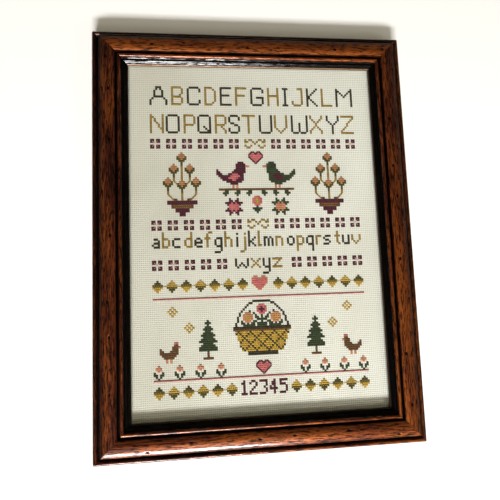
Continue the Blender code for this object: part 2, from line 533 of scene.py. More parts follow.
# Painted light: how much lighter each rail is painted at its two ends. Then how strong its shade beside the
# grooves is, part burnt finish and part painted shade
PAINTED_LIGHT_AND_SHADE = {
    "bottom": (0.02, 0.15, 0.35),
    "right": (0.15, 0.02, 0.65),
    "top": (0.18, 0.18, 0.95),
    "left": (0.00, 0.04, 0.60),
}
# How strongly the brown band at the sight edge shows on each rail. It is a little wear, plus a painted
# highlight that is strongest on the top rail, where the window lights the lip
WORN_AND_LIT_LIP = {"bottom": 0.35, "right": 0.35, "top": 1.0, "left": 0.15}

# Where the bands begin and end, in millimetres in from the outside edge or up from the back
OUTER_BLACK, INNER_BLACK, SIGHT_BLACK = (4.2, 7.4), (21.1, 23.1), (26.0, 26.4)
SHADE_BY_HUMP, SHADE_BY_BEAD, SHADE_INSIDE = (12.5, 6.8), (3.8, 4.6), (20.8, 21.8)
WORN_AND_LIT_INSET, WORN_AND_LIT_HEIGHT = (31.2, 31.4), (12.95, 12.75)
FACE_HEIGHT, BACK_HEIGHT = (9.0, 9.8), (9.6, 8.4)


def moulding_finish(side, length, across, turn):
    material, surface, place = new_finish(
        f"mahogany_{side}", 0.5, Specular_IOR_Level=0.05, Coat_Roughness=0.22, Metallic=METALLIC_SHARE,
    )
    settled = place.node("ShaderNodeMapping", inputs={
        "Vector": place,
        "Rotation": (0.0, 0.0, -math.radians(turn)),
        "Location": (0.0, across / 2, 0.0),
    })
    along, inset, height = (part * 1000 for part in settled.parts())
    seed = turn * 0.37

    # Streaks, short black flecks, fine pores, and slow changes along the board
    spot = settled.node("ShaderNodeVectorMath", {"operation": "ADD"}, {0: settled, 1: (seed, seed, seed)})
    streaks = spot.stretched(45, 780, 780).clouds(1.0, 5.0, 0.75)
    slow = spot.stretched(16, 95, 60).clouds(1.0, 2.0, 0.5)
    flecks = spot.stretched(130, 1050, 1050).clouds(1.0, 3.0, 0.60).step(0.51, 0.56)
    pores = spot.stretched(420, 2600, 2600).clouds(1.0, 2.0, 0.5).step(0.58, 0.70)
    # Painted light: each rail is lighter towards its lower or right end, where the lamp at the lower right
    # falls, and the top rail, facing the window, is lighter all along. Also the strength of the shade by the
    # grooves, part burnt finish and part painted shade
    first_painted_light, last_painted_light, burnt_and_painted_shade = PAINTED_LIGHT_AND_SHADE[side]
    painted_light = along * ((last_painted_light - first_painted_light) / (length / MM)) + (first_painted_light + last_painted_light) / 2
    figure = (streaks * 0.7 + slow * 0.5 + painted_light).step(0.41, 0.86)
    stain = figure.node("ShaderNodeValToRGB", {"stops": STAIN_STOPS}, {"Fac": figure})

    # Shade beside the grooves, partly burnt finish and partly painted shade where the slopes turn from the
    # light, with the flecks and pores
    face = height.step(*FACE_HEIGHT)
    on_hump = inset.step(*SHADE_BY_HUMP) * inset.step(*SHADE_BY_BEAD) * burnt_and_painted_shade
    on_bead = inset.step(*SHADE_BY_BEAD[::-1]) * (burnt_and_painted_shade - 0.15)
    shaded = (on_hump + on_bead + inset.between(*SHADE_INSIDE, 0.6) * 0.6) * face
    darkened = (shaded + flecks * 0.80 + pores * 0.40).maths("MINIMUM", 0.92)
    stain = darkened.blend(stain, BLACK)

    # Dents filled with black wax
    wax = 0.0
    for dent_along, dent_inset in DENTS[side]:
        apart = settled.node("ShaderNodeVectorMath", {"operation": "MULTIPLY_ADD"}, {
            0: settled,
            1: (DENT_LENGTHENED * 1000, 1000.0, 0.0),
            2: (-DENT_LENGTHENED * dent_along, -float(dent_inset), 0.0),
        })
        distance = apart.node("ShaderNodeVectorMath", {"operation": "LENGTH"}, {0: apart}, output=1)
        wax = distance.step(1.35, 0.65) + wax

    # Black grooves and sight edge, with edges that waver as a brush does
    waver = spot.stretched(120, 300, 300).clouds(1.0, 2.0, 0.5) * 0.8 - 0.4
    brushed = inset + waver
    lines = brushed.between(*OUTER_BLACK, 0.30) + brushed.between(*INNER_BLACK, 0.25)
    black = (lines + brushed.step(*SIGHT_BLACK)) * face + height.step(*BACK_HEIGHT) * 0.75
    black = (black + wax).maths("MINIMUM", 1.0)
    # Brown band at the sight edge: a little worn lacquer, but mostly a painted highlight from the window
    sight = inset.step(*WORN_AND_LIT_INSET) * height.step(*WORN_AND_LIT_HEIGHT) * WORN_AND_LIT_LIP[side]
    colour = sight.blend(black.blend(stain, BLACK), LIP_BROWN)

    shine = streaks.step(0.40, 0.62) * 0.50 - flecks * 0.45 - pores * 0.35 + 0.55

    feed(
        surface,
        Base_Color=colour,
        Roughness=streaks * 0.2 + 0.40,
        Coat_Weight=shine - black * 0.50,
        Normal=bumped(streaks * 0.8 - flecks * 0.5 - pores * 0.7, GRAIN_RELIEF),
    )
    return material


SIDES = (
    ("bottom", FRAME_WIDTH, FRAME_HEIGHT, 0),
    ("right", FRAME_HEIGHT, FRAME_WIDTH, 90),
    ("top", FRAME_WIDTH, FRAME_HEIGHT, 180),
    ("left", FRAME_HEIGHT, FRAME_WIDTH, 270),
)
for side, length, across, turn in SIDES:
    rail = make_rail(side, length, across, turn)
    rail.data.materials.append(moulding_finish(side, length, across, turn))
    print(rail.name, len(rail.data.polygons), "faces")

# %% [markdown]
# ## Even-weave cloth
#
# Samplers are worked on a cloth that is woven in square blocks with a small hole at each corner, 14 blocks to
# the inch, so that every stitch finds its place by counting. The sheet is a real grid with two faces to a
# block each way: its points sink at the holes, dip along the channels and rise in the middle of a block. It
# lies flat on the board and fills the rabbet.
# The count starts at the corner of the stitched design, which keeps each stitch between four holes.

# %% Weave the cloth
BLOCK = 25.4 * MM / 14
COLUMNS, ROWS = 107, 157
DESIGN_CENTRE_X = 1.3 * MM
DESIGN_LEFT = DESIGN_CENTRE_X - COLUMNS / 2 * BLOCK
DESIGN_TOP = ROWS / 2 * BLOCK
BLOCKS_LEFT, BLOCKS_RIGHT, BLOCKS_ABOVE, BLOCKS_BELOW = 13, 12, 12, 12

CLOTH_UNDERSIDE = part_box("sampler_cloth")[0].z
CLOTH_CROWN = CLOTH_UNDERSIDE + 0.75 * MM
CHANNEL_DIP = 0.12 * MM
HOLE_DIP = 0.34 * MM
CLOTH_WAVE = 0.05 * MM
WAVES_TO_THE_METRE = 28
RIM_SHARP_FROM = 60


def weave_cloth():
    wide = BLOCKS_LEFT + COLUMNS + BLOCKS_RIGHT
    tall = BLOCKS_ABOVE + ROWS + BLOCKS_BELOW
    left = DESIGN_LEFT - BLOCKS_LEFT * BLOCK
    bottom = DESIGN_TOP - (ROWS + BLOCKS_BELOW) * BLOCK
    bm = bmesh.new()
    bmesh.ops.create_grid(bm, x_segments=2 * wide, y_segments=2 * tall, size=0.5)
    bmesh.ops.translate(bm, verts=bm.verts, vec=(0.5, 0.5, 0.0))
    bmesh.ops.scale(bm, verts=bm.verts, vec=(wide * BLOCK, tall * BLOCK, 1.0))
    bmesh.ops.translate(bm, verts=bm.verts, vec=(left, bottom, CLOTH_CROWN))
    for vertex in bm.verts:
        on_column = round((vertex.co.x - left) / BLOCK * 2) % 2 == 0
        on_row = round((vertex.co.y - bottom) / BLOCK * 2) % 2 == 0
        dip = (0.0, CHANNEL_DIP, HOLE_DIP)[on_column + on_row]
        spot = Vector((vertex.co.x * WAVES_TO_THE_METRE, vertex.co.y * WAVES_TO_THE_METRE, 0.0))
        vertex.co.z += CLOTH_WAVE * noise.noise(spot) - dip
    rim = [edge for edge in bm.edges if edge.is_boundary]
    walls = bmesh.ops.extrude_edge_only(bm, edges=rim)["geom"]
    foot = [item for item in walls if isinstance(item, bmesh.types.BMVert)]
    for vertex in foot:
        vertex.co.z = CLOTH_UNDERSIDE
    hem = [item for item in walls if isinstance(item, bmesh.types.BMEdge) and item.is_boundary]
    bmesh.ops.contextual_create(bm, geom=hem)
    bmesh.ops.recalc_face_normals(bm, faces=bm.faces)
    mesh = keep_mesh(bm, "cloth")
    mesh.shade_smooth()
    mesh.set_sharp_from_angle(angle=math.radians(RIM_SHARP_FROM))
    return show(mesh), (wide * BLOCK, tall * BLOCK)


cloth, CLOTH_SIZE = weave_cloth()
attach(cloth, "root")
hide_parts("sampler_cloth")
print(f"cloth {CLOTH_SIZE[0] / MM:.1f} x {CLOTH_SIZE[1] / MM:.1f} mm, {len(cloth.data.polygons)} faces")

# %% [markdown]
# ## Finish for the cloth
#
# The cotton is cream. What the eye takes for its texture are the holes and the channels between the blocks,
# so these are counted out from the same corner as the grid, in blocks, and painted darker. The holes partly
# show the board behind, but most of that darkening is painted shade. It is stronger in the channels along the
# rows, which the light from below leaves in shade. Inside a block four threads cross four others, over and
# under by turns. The finish adds them as a bump, because they are finer than any mesh should be, and paints a
# little shade between them. Old cloth has also yellowed a little in large soft patches. On top of that, the
# cotton is painted darker towards the left, a painted shade where the lamp on the right gives less light.

# %% Finish for the cloth
COTTON = (0.88, 0.865, 0.805)
COTTON_AGED_AND_SHADED = (0.63, 0.600, 0.515)
HOLE_SHADE = (0.28, 0.25, 0.19)
THREADS_IN_BLOCK = 4
# Where along X the cotton turns darker towards the left, a painted shade
SHADED_TOWARDS_LEFT = (0.11, -0.14)
WEAVE_RELIEF = 0.09 * MM


def cloth_finish():
    material, surface, place = new_finish("cream_cotton", 0.85, Sheen_Weight=0.15)
    x, y = place.parts()[:2]
    u = (x - DESIGN_LEFT) * (1 / BLOCK)
    v = (y - DESIGN_TOP) * (1 / BLOCK)
    from_column = 0.5 - abs(u.maths("FRACT") - 0.5)
    from_row = 0.5 - abs(v.maths("FRACT") - 0.5)
    near_hole = (from_column * from_column + from_row * from_row).maths("SQRT").step(0.30, 0.10)
    # Painted shade: the channels along the rows are darker than those down the columns, since the light comes
    # from below
    channel = from_row.step(0.20, 0.02) * 0.75 + from_column.step(0.16, 0.02) * 0.25

    # Four threads each way in a block, over and under by turns
    warp, weft = u * THREADS_IN_BLOCK, v * THREADS_IN_BLOCK
    warp_over = abs((warp.maths("FLOOR") + weft.maths("FLOOR")).maths("MODULO", 2.0))
    across_warp = 1 - abs(warp.maths("FRACT") - 0.5) * 2
    across_weft = 1 - abs(weft.maths("FRACT") - 0.5) * 2
    thread = across_warp * warp_over + across_weft * (1 - warp_over)
    fibres = place.stretched(2600, 2600, 2600).clouds(1.0, 3.0, 0.6)

    patches = place.stretched(14, 14, 14).clouds(1.0, 3.0, 0.5).step(0.35, 0.75)
    # Yellowed patches, plus a painted shade darker towards the left
    aged_and_shaded = patches * 0.3 + x.step(*SHADED_TOWARDS_LEFT) * 0.7
    colour = aged_and_shaded.blend(COTTON, COTTON_AGED_AND_SHADED)
    # Painted shade in the channels, in the holes and between the threads. The holes also show a little of the
    # board behind
    dark = channel * 0.34 + near_hole * 0.5 + (1 - thread) * 0.10
    colour = dark.maths("MINIMUM", 1.0).blend(colour, HOLE_SHADE)
    feed(
        surface,
        Base_Color=colour,
        Roughness=thread * -0.08 + 0.9,
        Normal=bumped(thread * 0.8 + fibres * 0.5 - near_hole * 1.5 - channel, WEAVE_RELIEF),
    )
    return material


cloth.data.materials.append(cloth_finish())

# %% [markdown]
# ## One cross stitch
#
# A cross stitch is two short legs over one block: the first leans one way, the second crosses it. The
# floss is two strands side by side, and each leg rises out of one hole, arches over the block and
# dives into the hole across. A strand is a sphere of few faces, drawn out along the diagonal and bent
# into that arch. It is made once, and thousands of copies are laid later, so it has to be light. The
# sphere's own UV map goes along, because the twist of the floss will be painted on it.

# %% Make the patterns for a cross and a back stitch
STRAND_WIDTH = 0.84 * MM
STRAND_THICKNESS = 0.34 * MM
STRANDS_APART = 0.32 * MM
STRANDS_CLOSER = 0.55
STRAND_FULLNESS = 1.3
HOLE_BED = CLOTH_CROWN - 0.28 * MM
FIRST_LEG_TOP = CLOTH_CROWN + 0.16 * MM
SECOND_LEG_TOP = CLOTH_CROWN + 0.42 * MM
BACK_STITCH_TOP = SECOND_LEG_TOP + 0.02 * MM
BACK_STITCH_LENGTH = 1.08 * BLOCK


def add_strand(bm, length, lean, aside, top, around=4, width=STRAND_WIDTH):
    """A strand over the middle, drawn out to a length, leaning by an angle, arched from end to end."""
    made = bmesh.ops.create_uvsphere(bm, u_segments=around, v_segments=4, radius=0.5, calc_uvs=True)
    verts = made["verts"]
    bmesh.ops.rotate(bm, verts=verts, matrix=Matrix.Rotation(math.radians(90), 3, "Y"))
    bmesh.ops.scale(bm, verts=verts, vec=(length, width, STRAND_THICKNESS))
    for vertex in verts:
        along = vertex.co.x / (length / 2)
        if 0.5 < abs(along) < 0.9:
            vertex.co.y *= STRAND_FULLNESS
            vertex.co.z *= STRAND_FULLNESS
        vertex.co.y += aside * (1 - STRANDS_CLOSER * along ** 2)
        vertex.co.z += HOLE_BED + (top - STRAND_THICKNESS / 2 - HOLE_BED) * (1 - along ** 4)
    bmesh.ops.rotate(bm, verts=verts, matrix=Matrix.Rotation(lean, 3, "Z"))


def cross_pattern():
    bm = bmesh.new()
    bm.loops.layers.uv.new("twist")
    diagonal = BLOCK * math.sqrt(2)
    for lean, top in ((math.radians(45), FIRST_LEG_TOP), (math.radians(135), SECOND_LEG_TOP)):
        for aside in (-STRANDS_APART, STRANDS_APART):
            add_strand(bm, diagonal, lean, aside, top)
    bmesh.ops.recalc_face_normals(bm, faces=bm.faces)
    return keep_mesh(bm, "cross")


def back_stitch_pattern(strands, width):
    bm = bmesh.new()
    bm.loops.layers.uv.new("twist")
    for aside in strands:
        add_strand(bm, BACK_STITCH_LENGTH, 0.0, aside, BACK_STITCH_TOP, around=5, width=width)
    bmesh.ops.recalc_face_normals(bm, faces=bm.faces)
    return keep_mesh(bm, "back_stitch")


CROSS = cross_pattern()
FINE_STITCH = back_stitch_pattern((0.0,), STRAND_WIDTH * 0.6)
FULL_STITCH = back_stitch_pattern((-STRANDS_APART * 1.3, STRANDS_APART * 1.3), STRAND_WIDTH)
print(len(CROSS.polygons), "faces to a cross,", len(FULL_STITCH.polygons), "to a full back stitch")

# %% [markdown]
# ## Squared paper
#
# A chart for cross stitch is squared paper with one letter in each square for the colour of its thread.
# So the design is kept as just that: an array of letters, on which small charts are drawn. A full stop
# is bare cloth. Back stitches run along the lines between the squares and get a list of their own.

# %% Paper, pen and ruler
paper = np.full((ROWS, COLUMNS), ".")
back_stitches = []


def draw(chart, column, row, swap=None, mirrored=False):
    """Copy a chart on to the paper. Its lines are parted by spaces, and swap changes threads."""
    for down, line in enumerate(chart.split()):
        line = line[::-1] if mirrored else line
        for across, mark in enumerate(line):
            if mark != ".":
                paper[row + down, column + across] = (swap or {}).get(mark, mark)


def rule(thread, *corners, full=False):
    """Back stitches between corners of the squares, a square at a time. Full ones have two strands."""
    for (x0, y0), (x1, y1) in zip(corners, corners[1:]):
        count = max(1, round(max(abs(x1 - x0), abs(y1 - y0))))
        for n in range(count):
            start = (x0 + (x1 - x0) * n / count, y0 + (y1 - y0) * n / count)
            end = (x0 + (x1 - x0) * (n + 1) / count, y0 + (y1 - y0) * (n + 1) / count)
            back_stitches.append((thread, full, start, end))


# The neighbour beyond each side of a square, and that side's two ends
SQUARE_SIDES = (
    ((0, -1), (0, 0), (1, 0)),
    ((0, 1), (0, 1), (1, 1)),
    ((-1, 0), (0, 0), (0, 1)),
    ((1, 0), (1, 0), (1, 1)),
)


def outline(chart, column, row, thread, full):
    """Back stitches round a filled shape."""
    lines = chart.split()
    filled = {(x, y) for y, line in enumerate(lines) for x, mark in enumerate(line) if mark != "."}
    for x, y in sorted(filled):
        for (across, down), *ends in SQUARE_SIDES:
            if (x + across, y + down) not in filled:
                corners = [(column + x + right, row + y + below) for right, below in ends]
                rule(thread, *corners, full=full)


# %% [markdown]
# ## Letters and numbers
#
# Letters are written as strokes: corner points on a small grid, joined by straight rows of stitches.
# That is far shorter than a chart for each, and easy to change. The capitals are ten squares tall and
# the small letters five, with stems that rise three above and hang three below. They are spread over
# the width of the design and worked in brown and gold by turns, as samplers often are.

# %% Write the letters
CAPITALS = {
    "A": "0,9 0,8 2,4 2,3 3,1 3,0 5,0 5,1 6,3 6,4 8,8 8,9 / 2,5 6,5",
    "B": "0,0 0,9 4,9 5,8 5,6 4,5 0,5 / 0,0 4,0 5,1 5,3 4,4",
    "C": "6,2 6,1 5,0 1,0 0,1 0,8 1,9 5,9 6,8 6,7",
    "D": "0,0 0,9 3,9 5,7 5,2 3,0 0,0",
    "E": "5,0 0,0 0,9 5,9 / 0,4 4,4",
    "F": "5,0 0,0 0,9 / 0,4 4,4",
    "G": "6,2 6,1 5,0 1,0 0,1 0,8 1,9 5,9 6,8 6,5 3,5",
    "H": "0,0 0,9 / 5,0 5,9 / 0,4 5,4",
    "I": "0,0 2,0 / 1,0 1,9 / 0,9 2,9",
    "J": "5,0 5,8 4,9 1,9 0,8 0,7 / 3,0 5,0",
    "K": "0,0 0,9 / 5,0 1,4 / 1,5 5,9",
    "L": "0,0 0,9 5,9",
    "M": "0,9 0,0 4,4 8,0 8,9",
    "N": "0,9 0,0 6,8 / 6,0 6,9",
    "O": "1,0 5,0 6,1 6,8 5,9 1,9 0,8 0,1 1,0",
    "P": "0,9 0,0 4,0 5,1 5,4 4,5 0,5",
    "Q": "1,0 5,0 6,1 6,8 5,9 1,9 0,8 0,1 1,0 / 3,6 6,9",
    "R": "0,9 0,0 4,0 5,1 5,4 4,5 0,5 / 2,5 5,8 5,9",
    "S": "5,2 5,1 4,0 1,0 0,1 0,3 1,4 4,5 5,6 5,8 4,9 1,9 0,8 0,7",
    "T": "0,0 6,0 / 3,0 3,9",
    "U": "0,0 0,8 1,9 5,9 6,8 6,0",
    "V": "0,0 0,6 3,9 6,6 6,0",
    "W": "0,0 0,8 1,9 3,9 4,8 5,9 7,9 8,8 8,0 / 4,8 4,4",
    "X": "0,0 0,1 6,8 6,9 / 6,0 6,1 0,8 0,9",
    "Y": "0,0 0,2 3,5 6,2 6,0 / 3,5 3,9",
    "Z": "0,0 6,0 6,1 0,8 0,9 6,9",
}
SMALL_LETTERS = {
    "a": "1,3 2,3 3,4 3,7 / 3,5 1,5 0,6 1,7 3,7",
    "b": "0,0 0,7 2,7 3,6 3,4 2,3 0,3",
    "c": "3,3 1,3 0,4 0,6 1,7 3,7",
    "d": "3,0 3,7 1,7 0,6 0,4 1,3 3,3",
    "e": "0,5 3,5 3,4 2,3 1,3 0,4 0,6 1,7 3,7",
    "f": "3,0 2,0 1,1 1,7 / 0,3 2,3",
    "g": "3,3 1,3 0,4 0,6 1,7 3,7 / 3,3 3,9 2,10 0,10",
    "h": "0,0 0,7 / 0,3 2,3 3,4 3,7",
    "i": "0,3 0,7 / 0,1 0,1",
    "j": "2,3 2,9 1,10 0,10 / 2,1 2,1",
    "k": "0,0 0,7 / 3,3 1,5 3,7",
    "l": "0,0 0,7 1,7",
    "m": "0,7 0,3 1,3 2,4 2,7 / 2,4 3,3 4,4 4,7",
    "n": "0,7 0,3 2,3 3,4 3,7",
    "o": "1,3 2,3 3,4 3,6 2,7 1,7 0,6 0,4 1,3",
    "p": "0,3 0,10 / 0,3 2,3 3,4 3,6 2,7 0,7",
    "q": "3,3 3,10 / 3,3 1,3 0,4 0,6 1,7 3,7",
    "r": "0,3 0,7 / 0,4 1,3 2,3",
    "s": "3,3 1,3 0,4 1,5 2,5 3,6 2,7 0,7",
    "t": "1,1 1,6 2,7 / 0,3 2,3",
    "u": "0,3 0,6 1,7 3,7 / 3,3 3,7",
    "v": "0,3 0,5 2,7 4,5 4,3",
    "w": "0,3 0,6 1,7 3,5 5,7 6,6 6,3",
    "x": "0,3 4,7 / 4,3 0,7",
    "y": "0,3 0,6 1,7 3,7 / 3,3 3,9 2,10 0,10",
    "z": "0,3 4,3 0,7 4,7",
}
NUMBERS = {
    "1": "0,1 1,0 1,6 / 0,6 2,6",
    "2": "0,1 1,0 2,0 3,1 3,2 0,5 0,6 3,6",
    "3": "0,0 3,0 3,2 2,3 3,4 3,5 2,6 0,6",
    "4": "2,6 2,0 0,3 0,4 3,4",
    "5": "3,0 0,0 0,2 2,2 3,3 3,5 2,6 0,6",
}


def squares_of(strokes):
    """The squares that a letter's strokes pass over."""
    squares = set()
    for stroke in strokes.split(" / "):
        corners = [tuple(map(int, corner.split(","))) for corner in stroke.split()]
        for (x0, y0), (x1, y1) in zip(corners, corners[1:]):
            count = max(abs(x1 - x0), abs(y1 - y0), 1)
            for n in range(count + 1):
                squares.add((round(x0 + (x1 - x0) * n / count), round(y0 + (y1 - y0) * n / count)))
    return squares


def write(letters, strokes, first, last, row, threads):
    """Spread letters over a row from a first to a last column, with the threads by turns."""
    drawn = [squares_of(strokes[letter]) for letter in letters]
    widths = [max(x for x, y in squares) + 1 for squares in drawn]
    spare = last - first + 1 - sum(widths)
    gap = spare / (len(letters) - 1)
    column = float(first)
    for turn, (squares, width) in enumerate(zip(drawn, widths)):
        for x, y in squares:
            paper[row + y, round(column) + x] = threads[turn % len(threads)]
        column += width + gap


write("ABCDEFGHIJKLM", CAPITALS, 0, COLUMNS - 1, 0, "bo")
write("NOPQRSTUVWXYZ", CAPITALS, 0, COLUMNS - 1, 15, "ob")
write("abcdefghijklmnopqrstuv", SMALL_LETTERS, 0, COLUMNS - 1, 76, "bo")
write("wxyz", SMALL_LETTERS, 41, 64, 87, "bo")
write("12345", NUMBERS, 42, 64, 150, "p")
print("letters and numbers cover", np.count_nonzero(paper != "."), "squares")

# %% [markdown]
# ## Borders
#
# Between the alphabets run bands of small repeats: four-petalled squares, scrolls, two-coloured
# diamonds on a thread, tulips and hearts. Each is one small chart, drawn again at every step, and a
# range of columns says where it starts. Fine back stitches of a single strand add pale diagonals to
# the square flowers and soften the diamonds. The plum outline of a heart takes both strands, or it
# would hardly show. A pink line is four fine ones side by side.

# %% Draw the borders
SQUARE_FLOWER = "pp.pp pp.pp ..... pp.pp pp.pp"
SCROLL = "#.##...##.# ##..#.#..## .....#..... #..#...#..# .##.....##."
HEART = ".rr.rr. rrrrrrr rrrrrrr .rrrrr. ..rrr.. ...r..."
WIDE_HEART = ".rr..rr. rrrrrrrr rrrrrrrr rrrrrrrr .rrrrrr. ..rrrr.. ...rr..."
DIAMOND = "..#.. .###. ##### @@@@@ .@@@. ..@.."
TULIP = "..t.. .ttt. .ltl. d...d dd.dd .d.d. ..d.."


def square_flowers(row, columns):
    for column in columns:
        draw(SQUARE_FLOWER, column, row)
        rule("l", (column + 1, row + 1), (column + 4, row + 4))
        rule("l", (column + 4, row + 1), (column + 1, row + 4))


def heart(chart, column, row, edge):
    draw(chart, column, row)
    outline(chart, column, row, edge, full=edge == "p")


def diamonds(row, columns, threads="kg"):
    """Diamonds in two threads, the first above and below by turns, on a gold thread."""
    for turn, column in enumerate(columns):
        upper, lower = threads if turn % 2 == 0 else threads[::-1]
        draw(DIAMOND, column, row, {"#": upper, "@": lower})
        rule(lower, (column + 0.5, row + 2.4), (column + 4.5, row + 2.4))
        rule(upper, (column + 0.5, row + 3.6), (column + 4.5, row + 3.6))
        if turn:
            rule("g", (column - 2, row + 3), (column, row + 3))


for row in (28, 70):
    square_flowers(row, range(0, 41, 8))
    square_flowers(row, range(62, 103, 8))
    draw(SCROLL, 48, row, {"#": "o"})
square_flowers(90, range(0, 33, 8))
square_flowers(90, range(70, 103, 8))

heart(HEART, 50, 35, "p")
heart(WIDE_HEART, 49, 99, "g")
heart(HEART, 50, 141, "p")

diamonds(100, range(0, 43, 7))
diamonds(100, range(60, 103, 7))
diamonds(151, range(0, 36, 7))
diamonds(151, range(67, 103, 7), "gk")

for column in (0, 10, 20, 30, 72, 82, 92, 102):
    draw(TULIP, column, 141)
PINK_LINE = (("p", -0.05), ("r", 0.15), ("r", 0.35), ("l", 0.6))
for row in (109, 148):
    for thread, down in PINK_LINE:
        rule(thread, (0, row + down), (COLUMNS, row + down))
print("with the borders", np.count_nonzero(paper != "."), "squares")

# %% [markdown]
# ## Pictures
#
# The middle of a sampler holds small pictures from the same stock of country motifs: plants in pots,
# birds on a branch, stars, a basket of flowers, firs and hens. Symmetric ones need no chart: pots,
# firs and the basket are rows of given widths round a middle. The bunch is charted by half and
# mirrored, and a sum rules the basket's plaiting.

# %% Draw the pictures
BUD = "..n.. .nnn. knnnk kknkk .kkk. ..k.. ..k.."
POT_STEPS = ((15, "p"), (15, "p"), (11, "m"), (11, "m"), (7, "p"), (7, "p"), (3, "p"), (3, "p"))
LEAF_STEPS = ((1, "d"), (5, "d"), (3, "d"), (1, "d"))
FIR_WIDTHS = (1, 3, 1, 3, 5, 3, 5, 7, 5, 7, 9, 5, 7, 9, 9)
TRUNK_STEPS = ((1, "m"), (1, "m"), (1, "m"), (5, "m"))
BIRD = """
...........ppp...
..........ppppp..
..........ppbpptt
..........ppppp..
p........pppppp..
pp......ppppppp..
ppp...pprrrppp...
.pppppprrrrrpp...
..pppprrrrrppp...
...ppppprrpppp...
.....pppppppp....
.......pppp......
........t.t......
........t.t......
"""
BRANCH_LEAF = ".dd ddd .d."
STAR = "..p...p.. ..pp.pp.. ppprprppp .prrrrrp. ..rrrrr.. .prrrrrp. ppprprppp ..pp.pp.. ..p...p.."
FLOWER = ".###. ##@## #@@@# ##@## .###."
LOZENGE = "..g.. .g.g. g.g.g .g.g. ..g.."
HEN = """
.......rr..
.......mm..
......mmmt.
m.....mmm..
mm...mmmm..
mmmmmmmmm..
.mmmmmmm...
..mmmmm....
...t.t.....
...t.t.....
"""
# The left half and the middle column of the basket's handle and bunch
BUNCH_HALF = """
...........bbbbb
.........bb.....
........b.....rr
.......b.....rrp
......b......rpp
.....b...d...rrp
....b..ttt.d..rr
....b.ttgtt.d..d
...b..tgggt.dd.d
...b..ttgtt..ddd
...b.d.ttt.dd..d
..b..dd.d.dd.ddd
..b...dddddd.ddd
"""
BASKET_WIDTHS = (27, 27, 25, 25, 25, 23, 23, 23, 21, 21)
MIDDLE = COLUMNS // 2


def steps(middle, row, widths_and_threads):
    """Rows of stitches of given widths, one under the other, centred on a column."""
    for down, (width, thread) in enumerate(widths_and_threads):
        draw(thread * width, middle - width // 2, row + down)


def potted_plant(left, top):
    middle = left + 9
    for column, row in ((9, 0), (5, 6), (13, 6), (9, 14), (2, 13), (16, 13)):
        draw(BUD, left + column - 2, top + row)
    for row in (*range(7, 14), *range(21, 25)):
        draw("o", middle, top + row)
    for column, row, inwards in ((5, 13, 1), (13, 13, -1), (2, 20, 1), (16, 20, -1)):
        draw("o", left + column, top + row)
        draw("o", left + column, top + row + 1)
        start = (left + column + 0.5, top + row + 2)
        reach = 2 if row == 13 else 3
        rule("o", start, (start[0] + inwards * reach, start[1] + reach), full=True)
    draw("mm", left + 5, top + 24)
    draw("mm", left + 12, top + 24)
    steps(middle, top + 25, POT_STEPS)
    rule("g", (middle - 4, top + 27.5), (middle + 5, top + 27.5))
    rule("g", (middle - 3, top + 28.5), (middle + 4, top + 28.5))


potted_plant(6, 35)
potted_plant(82, 35)

draw(BIRD, 33, 40)
draw(BIRD, 57, 40, {"p": "d", "r": "p"}, mirrored=True)
steps(MIDDLE, 54, ((39, "m"),))
for column in (36, 42, 48):
    draw(BRANCH_LEAF, column, 55)
for column in (56, 62, 68):
    draw(BRANCH_LEAF, column, 55, mirrored=True)
draw(STAR, 37, 59)
draw(STAR, 61, 59, {"p": "d", "r": "t"})
draw(FLOWER, 51, 58, {"#": "r", "@": "g"})
steps(MIDDLE, 63, LEAF_STEPS)

for line, half in enumerate(BUNCH_HALF.split()):
    draw(half + half[-2::-1], 38, 111 + line)
steps(MIDDLE, 124, ((29, "b"), (29, "m")))
for down, width in enumerate(BASKET_WIDTHS):
    for across in range(-(width // 2), width // 2 + 1):
        plaited = (across + down) % 6 == 0 or (across - down) % 6 == 0
        draw("b" if plaited else "g", MIDDLE + across, 126 + down)
steps(MIDDLE, 136, ((15, "b"), (15, "b")))

for column in (26, 80):
    steps(column, 120, [(width, "d") for width in FIR_WIDTHS])
    steps(column, 135, TRUNK_STEPS)
for column, mirrored in ((3, False), (93, True)):
    draw(HEN, column, 130, mirrored=mirrored)
for column in (7, 95):
    draw(LOZENGE, column, 113)
for column in (15, 87):
    draw(LOZENGE, column, 121)
print("whole design", np.count_nonzero(paper != "."), "crosses,", len(back_stitches), "back stitches")

# %% [markdown]
# ## Sewing it
#
# Each thread becomes one mesh: all its crosses and back stitches, laid side by side by adding places
# to the pattern's points. That is done with arrays, because thousands of separate objects would be
# slow. No hand pulls every stitch alike, so each copy is turned and lifted a trifle, and each carries a
# number of its own, which the finish uses to vary the dye.

# %% Lay the stitches
UNEVEN_TURN = math.radians(3.5)
UNEVEN_LIFT = 0.02 * MM
chance = np.random.default_rng(14)


def pattern_arrays(mesh):
    """The points, faces and UV corners of a pattern."""
    points = np.array([tuple(vertex.co) for vertex in mesh.vertices])
    faces = [tuple(face.vertices) for face in mesh.polygons]
    corners = np.array([tuple(corner.uv) for corner in mesh.uv_layers["twist"].data])
    return points, faces, corners


def lay(mesh, places, turns, stretches):
    """Copy a pattern to many places, each with its own turn and its own stretch along X."""
    points, faces, corners = pattern_arrays(mesh)
    count = len(places)
    lifts = chance.uniform(-UNEVEN_LIFT, UNEVEN_LIFT, count)
    x = points[:, 0] * stretches[:, None]
    y = np.broadcast_to(points[:, 1], x.shape)
    z = points[:, 2] + lifts[:, None]
    cos, sin = np.cos(turns)[:, None], np.sin(turns)[:, None]
    laid = np.stack([x * cos - y * sin + places[:, :1], x * sin + y * cos + places[:, 1:], z], axis=-1)
    all_faces = [
        tuple(corner + copy * len(points) for corner in face) for copy in range(count) for face in faces
    ]
    dye = np.repeat(chance.uniform(0.0, 1.0, count), len(points))
    return laid.reshape(-1, 3), all_faces, np.tile(corners, (count, 1)), dye


